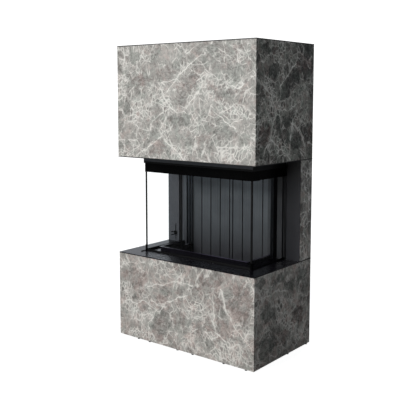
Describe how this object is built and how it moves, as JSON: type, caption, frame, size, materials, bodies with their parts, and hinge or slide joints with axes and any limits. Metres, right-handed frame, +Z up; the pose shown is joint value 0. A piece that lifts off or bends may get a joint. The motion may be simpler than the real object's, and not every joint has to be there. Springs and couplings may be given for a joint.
{
  "type": "soapstone stove",
  "caption": "Tall stone-clad wood stove: stone plinth, rear column and hood round a three-sided glazed firebox whose glass door lifts into the hood; air lever at the left.",
  "frame": {"origin": "on the floor, in the middle of the footprint", "axes": "+X to the right seen from the front, +Y to the back, +Z up"},
  "size_m": [1.1, 0.65, 1.946],
  "materials": {
    "cladding_stone": "honed, grey with white veins",
    "black_steel": "matt black heat-proof paint",
    "grey_steel": "satin anthracite paint",
    "plain_steel": "zinc plated",
    "back_steel": "galvanised sheet",
    "cast_iron": "as cast",
    "fire_lining": "matt dark grey fire board",
    "soapstone": "sawn soapstone",
    "door_glass": "clear glass-ceramic",
    "corner_bead": "black heat-proof bead",
    "rope_seal": "black glass-fibre rope",
    "glide_plastic": "black"
  },
  "bodies": {
    "housing": {"plinth_front_stone": "cladding_stone", "plinth_left_stone": "cladding_stone", "plinth_right_stone": "cladding_stone", "column_left_stone": "cladding_stone", "column_right_stone": "cladding_stone", "hood_front_stone": "cladding_stone", "hood_left_stone": "cladding_stone", "hood_right_stone": "cladding_stone", "base_plate": "black_steel", "hood_plate": "black_steel", "top_plate": "black_steel", "left_cheek_panel": "black_steel", "right_cheek_panel": "black_steel", "door_gutter": "black_steel", "hearth_tray": "black_steel", "firebox_shell": "black_steel", "smoke_dome": "black_steel", "flue_pipe": "black_steel", "flue_collar": "black_steel", "lintel_fascia": "grey_steel", "plinth_frame": "plain_steel", "column_posts": "plain_steel", "hood_frame": "plain_steel", "guide_rails": "plain_steel", "sprocket_brackets": "plain_steel", "ash_well": "plain_steel", "air_box": "plain_steel", "gate_housing": "plain_steel", "air_spigot": "plain_steel", "lift_chains": "plain_steel", "levelling_feet": "plain_steel", "panel_screws": "plain_steel", "plinth_rear_panel": "back_steel", "column_rear_panel": "back_steel", "hood_rear_panel": "back_steel", "back_lining_left": "fire_lining", "back_lining_centre": "fire_lining", "back_lining_right": "fire_lining", "corner_linings": "fire_lining", "hearth_slabs": "fire_lining", "storage_stones": "soapstone", "hearth_seal": "rope_seal", "dome_seal": "rope_seal", "edge_glides": "glide_plastic"},
    "glass_door": {"front_glass": "door_glass", "left_glass": "door_glass", "right_glass": "door_glass", "glass_corner_strips": "corner_bead", "door_top_rail": "black_steel", "door_stiles": "black_steel", "guide_shoes": "plain_steel", "glass_corner_clips": "black_steel"},
    "chain_shaft": {"lift_shaft": "plain_steel"},
    "idler_wheels": {"idler_sprockets": "plain_steel"},
    "balance_weights": {"counterweights": "cast_iron"},
    "air_control": {"air_lever": "black_steel", "air_gate": "plain_steel"},
    "hearth_grate": {"grate": "cast_iron"},
    "ash_drawer": {"ash_pan": "plain_steel"},
    "smoke_baffle": {"baffle_plate": "fire_lining"}
  },
  "joints": [
    {"name": "door_lift", "type": "slide", "parent": "housing", "child": "glass_door", "axis": [0, 0, 1], "range_m": [0, 0.59]},
    {"name": "shaft_turn", "type": "hinge", "parent": "housing", "child": "chain_shaft", "pos_m": [0, 0.25, 1.8], "axis": [-1, 0, 0], "range_deg": [0, 1353]},
    {"name": "idler_turn", "type": "hinge", "parent": "housing", "child": "idler_wheels", "pos_m": [0, 0.25, 0.606], "axis": [-1, 0, 0], "range_deg": [0, 1353]},
    {"name": "weight_drop", "type": "slide", "parent": "housing", "child": "balance_weights", "axis": [0, 0, -1], "range_m": [0, 0.59]},
    {"name": "air_lever_slide", "type": "slide", "parent": "housing", "child": "air_control", "axis": [0, 0, 1], "range_m": [-0.045, 0.055]},
    {"name": "grate_lift", "type": "slide", "parent": "housing", "child": "hearth_grate", "axis": [0, 0, 1], "range_m": [0, 0.21]},
    {"name": "ash_pan_lift", "type": "slide", "parent": "housing", "child": "ash_drawer", "axis": [0, 0, 1], "range_m": [0, 0.21]},
    {"name": "baffle_lift", "type": "slide", "parent": "housing", "child": "smoke_baffle", "axis": [0, 0, 1], "range_m": [0, 0.02]}
  ],
  "couplings": [
    {"joint": "shaft_turn", "follows": "door_lift", "rad_per_m": 40},
    {"joint": "idler_turn", "follows": "door_lift", "rad_per_m": 40},
    {"joint": "weight_drop", "follows": "door_lift", "ratio": 1},
    {"joint": "ash_pan_lift", "follows": "grate_lift", "ratio": 1}
  ]
}
